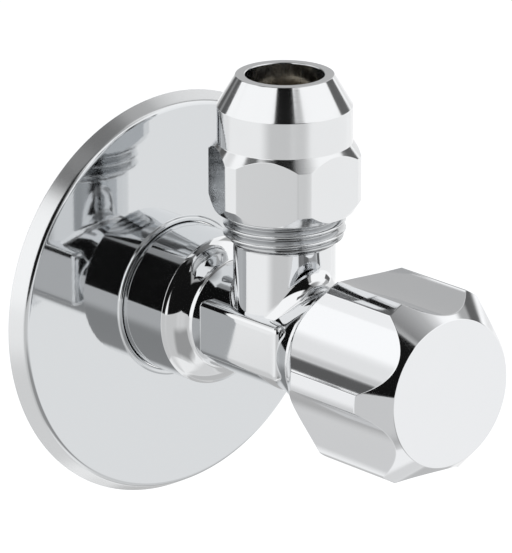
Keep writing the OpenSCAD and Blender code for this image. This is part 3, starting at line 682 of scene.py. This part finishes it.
def studioLook(tree, direction):
    # what metal sees in a direction: white all round, then the darker top, then the boards in their order
    x, y, z = addNode(tree, "ShaderNodeSeparateXYZ", Vector=direction).outputs
    compass = calc(tree, "DEGREES", calc(tree, "ARCTAN2", y, x))
    flat = calc(tree, "SQRT", calc(tree, "ADD", calc(tree, "MULTIPLY", x, x), calc(tree, "MULTIPLY", y, y)))
    rise = calc(tree, "DEGREES", calc(tree, "ARCTAN2", z, flat))
    crown = ramp(tree, calc(tree, "FRACT", calc(tree, "DIVIDE", compass, 360.0)),
                 [(degrees / 360, grey) for degrees, grey in studioCrown])
    toTop = addNode(tree, "ShaderNodeMapRange", Value=rise, From_Min=48.0, From_Max=56.0).outputs[0]
    level = blendColour(tree, toTop, (1, 1, 1, 1), crown)
    for tone, left, right, edge, low, high, softness, lean in studioBoards:
        middle = (low + high) / 2
        leaning = compass
        if lean:
            tilt = calc(tree, "MULTIPLY", calc(tree, "SUBTRACT", rise, middle), lean)
            leaning = calc(tree, "ADD", compass, tilt)
        sideways = softWindow(tree, leaning, (left + right) / 2, (right - left) / 2, edge, turning=True)
        upright = softWindow(tree, rise, middle, (high - low) / 2, softness)
        level = blendColour(tree, calc(tree, "MULTIPLY", sideways, upright), level, (tone, tone, tone, 1))
    return level

def metalRays(tree):
    ray = tree.nodes.new("ShaderNodeLightPath").outputs
    return ray["Is Camera Ray"], calc(tree, "MAXIMUM", ray["Is Glossy Ray"], ray["Is Transmission Ray"])

def studioSky(plan):
    world = bpy.data.worlds.new("studio")
    bpy.context.scene.world = world
    world.use_nodes = True
    tree = world.node_tree
    tree.nodes.clear()
    look = studioLook(tree, tree.nodes.new("ShaderNodeTexCoord").outputs["Generated"])
    seenByCamera, seenInMetal = metalRays(tree)
    strength = calc(tree, "ADD", 1.0, calc(tree, "MULTIPLY", seenInMetal, plan["boxLevel"] - 1.0))
    plain = (plan["skyForFloor"],) * 3 + (1,)
    colour = blendColour(tree, seenByCamera, blendColour(tree, seenInMetal, plain, look), (1, 1, 1, 1))
    backdrop = addNode(tree, "ShaderNodeBackground", Color=colour, Strength=strength)
    output = tree.nodes.new("ShaderNodeOutputWorld")
    tree.links.new(backdrop.outputs[0], output.inputs["Surface"])

def studioFloor(plan):
    half, level = plan["floorHalf"], plan["floorHeight"]
    mesh = bpy.data.meshes.new("floor")
    mesh.from_pydata([(-half, -half, level), (half, -half, level), (half, half, level), (-half, half, level)],
                     [], [(0, 1, 2, 3)])
    floor = bpy.data.objects.new("floor", mesh)
    bpy.context.collection.objects.link(floor)
    material = bpy.data.materials.new("floor_paper")
    material.use_nodes = True
    tree = material.node_tree
    tree.nodes.clear()
    # matt paper that keeps the shadow, lifted to white for the camera; metal sees the boards laid on it
    look = studioLook(tree, tree.nodes.new("ShaderNodeTexCoord").outputs["Object"])
    seenByCamera, seenInMetal = metalRays(tree)
    matt = addNode(tree, "ShaderNodeBsdfDiffuse",
                   Color=blendColour(tree, seenInMetal, (*plan["floorColour"], 1), (0, 0, 0, 1)))
    glow = blendColour(tree, seenByCamera, look, (1, 1, 1, 1))
    strength = calc(tree, "ADD", calc(tree, "MULTIPLY", seenByCamera, plan["cameraLift"]),
                    calc(tree, "MULTIPLY", seenInMetal, plan["boxLevel"]))
    lift = addNode(tree, "ShaderNodeEmission", Color=glow, Strength=strength)
    both = tree.nodes.new("ShaderNodeAddShader")
    tree.links.new(matt.outputs[0], both.inputs[0])
    tree.links.new(lift.outputs[0], both.inputs[1])
    output = tree.nodes.new("ShaderNodeOutputMaterial")
    tree.links.new(both.outputs[0], output.inputs["Surface"])
    floor.data.materials.append(material)

def softLamp(name, place, size, power):
    # a square lamp aimed at the part; the boards are what metal mirrors
    lamp = bpy.data.objects.new(name, bpy.data.lights.new(name, "AREA"))
    lamp.data.size = size
    lamp.data.energy = power
    lamp.location = place
    lamp.rotation_euler = (Vector((0, -0.02, 0)) - Vector(place)).to_track_quat("-Z", "Y").to_euler()
    lamp.visible_glossy = False
    bpy.context.collection.objects.link(lamp)

studioSky(studioPlan)
studioFloor(studioPlan)
softLamp("left_lamp", place=(-1.0, -0.35, 1.0), size=0.9, power=9)
softLamp("right_lamp", place=(0.75, -1.0, 0.9), size=0.9, power=7)
print("studio set")
